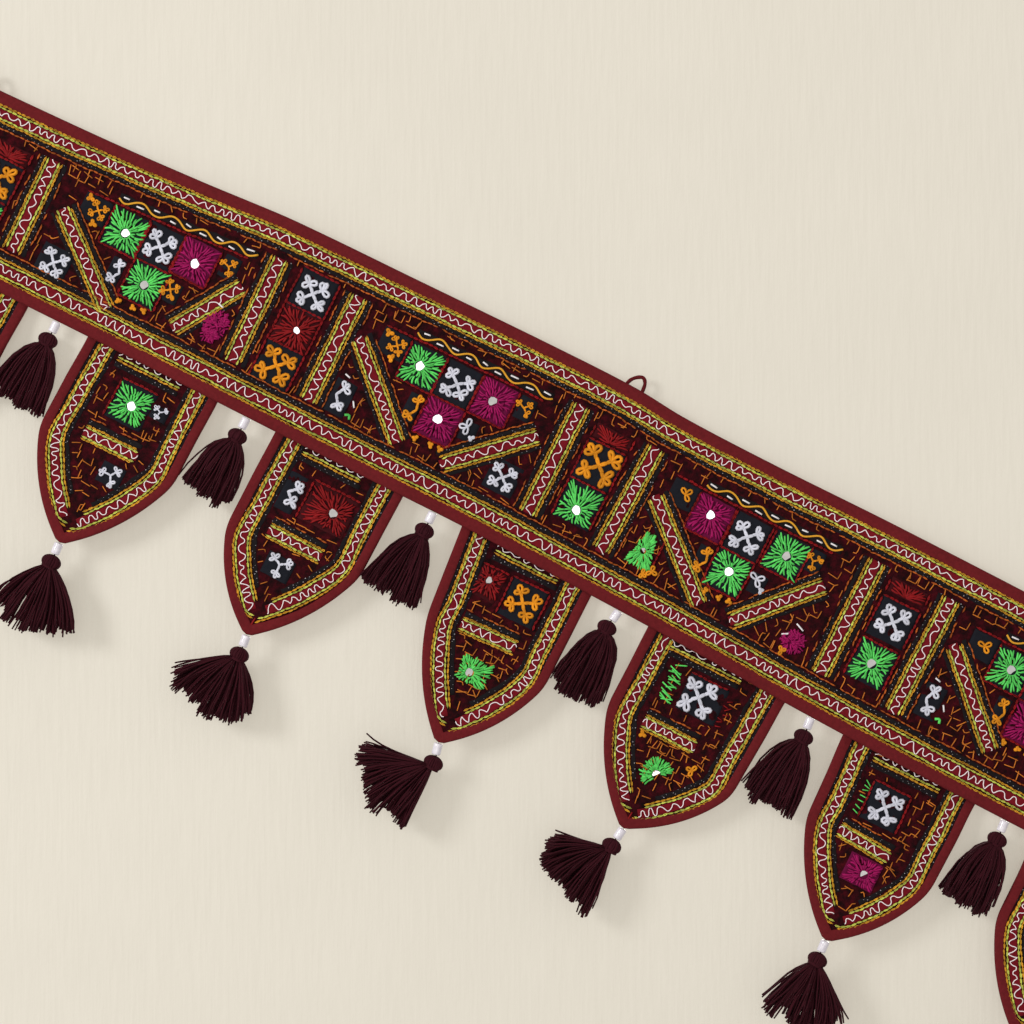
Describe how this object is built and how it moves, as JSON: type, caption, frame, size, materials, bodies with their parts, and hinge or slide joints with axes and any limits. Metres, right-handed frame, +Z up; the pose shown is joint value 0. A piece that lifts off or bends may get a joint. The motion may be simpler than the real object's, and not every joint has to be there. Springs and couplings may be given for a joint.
{
  "type": "toran door hanging",
  "caption": "Embroidered mirror-work band for the top of a doorway, with pointed petals along its lower edge, yarn tassels on beads, and hanging loops.",
  "frame": {"origin": "middle of the band's top edge, where the hanging is fixed above a doorway", "axes": "+X along the band to the right as seen from its embroidered front, the front faces -Y, +Z up"},
  "size_m": [1.002, 0.0273, 0.3516],
  "materials": {
    "velvet": "embroidered dark wine velvet with patches, ribbons and chain stitch",
    "binding": "plain maroon cotton",
    "yarn": "dark wine cotton yarn",
    "bead": "glossy white tube beads"
  },
  "bodies": {
    "root": {"band_cloth": "velvet", "binding_top": "binding", "binding_bottom": "binding", "binding_end_left": "binding", "binding_end_right": "binding", "petal_cloth_1": "velvet", "petal_cloth_2": "velvet", "petal_cloth_3": "velvet", "petal_cloth_4": "velvet", "petal_cloth_5": "velvet", "petal_cloth_6": "velvet", "petal_cloth_7": "velvet", "petal_binding_1": "binding", "petal_binding_2": "binding", "petal_binding_3": "binding", "petal_binding_4": "binding", "petal_binding_5": "binding", "petal_binding_6": "binding", "petal_binding_7": "binding", "tassel_tip_1": "yarn", "tassel_tip_2": "yarn", "tassel_tip_3": "yarn", "tassel_tip_4": "yarn", "tassel_tip_5": "yarn", "tassel_tip_6": "yarn", "tassel_tip_7": "yarn", "tassel_gap_1": "yarn", "tassel_gap_2": "yarn", "tassel_gap_3": "yarn", "tassel_gap_4": "yarn", "tassel_gap_5": "yarn", "tassel_gap_6": "yarn", "bead_tip_1": "bead", "bead_tip_2": "bead", "bead_tip_3": "bead", "bead_tip_4": "bead", "bead_tip_5": "bead", "bead_tip_6": "bead", "bead_tip_7": "bead", "bead_gap_1": "bead", "bead_gap_2": "bead", "bead_gap_3": "bead", "bead_gap_4": "bead", "bead_gap_5": "bead", "bead_gap_6": "bead", "hanging_loop_left": "binding", "hanging_loop_middle": "binding", "hanging_loop_right": "binding"}
  },
  "joints": []
}
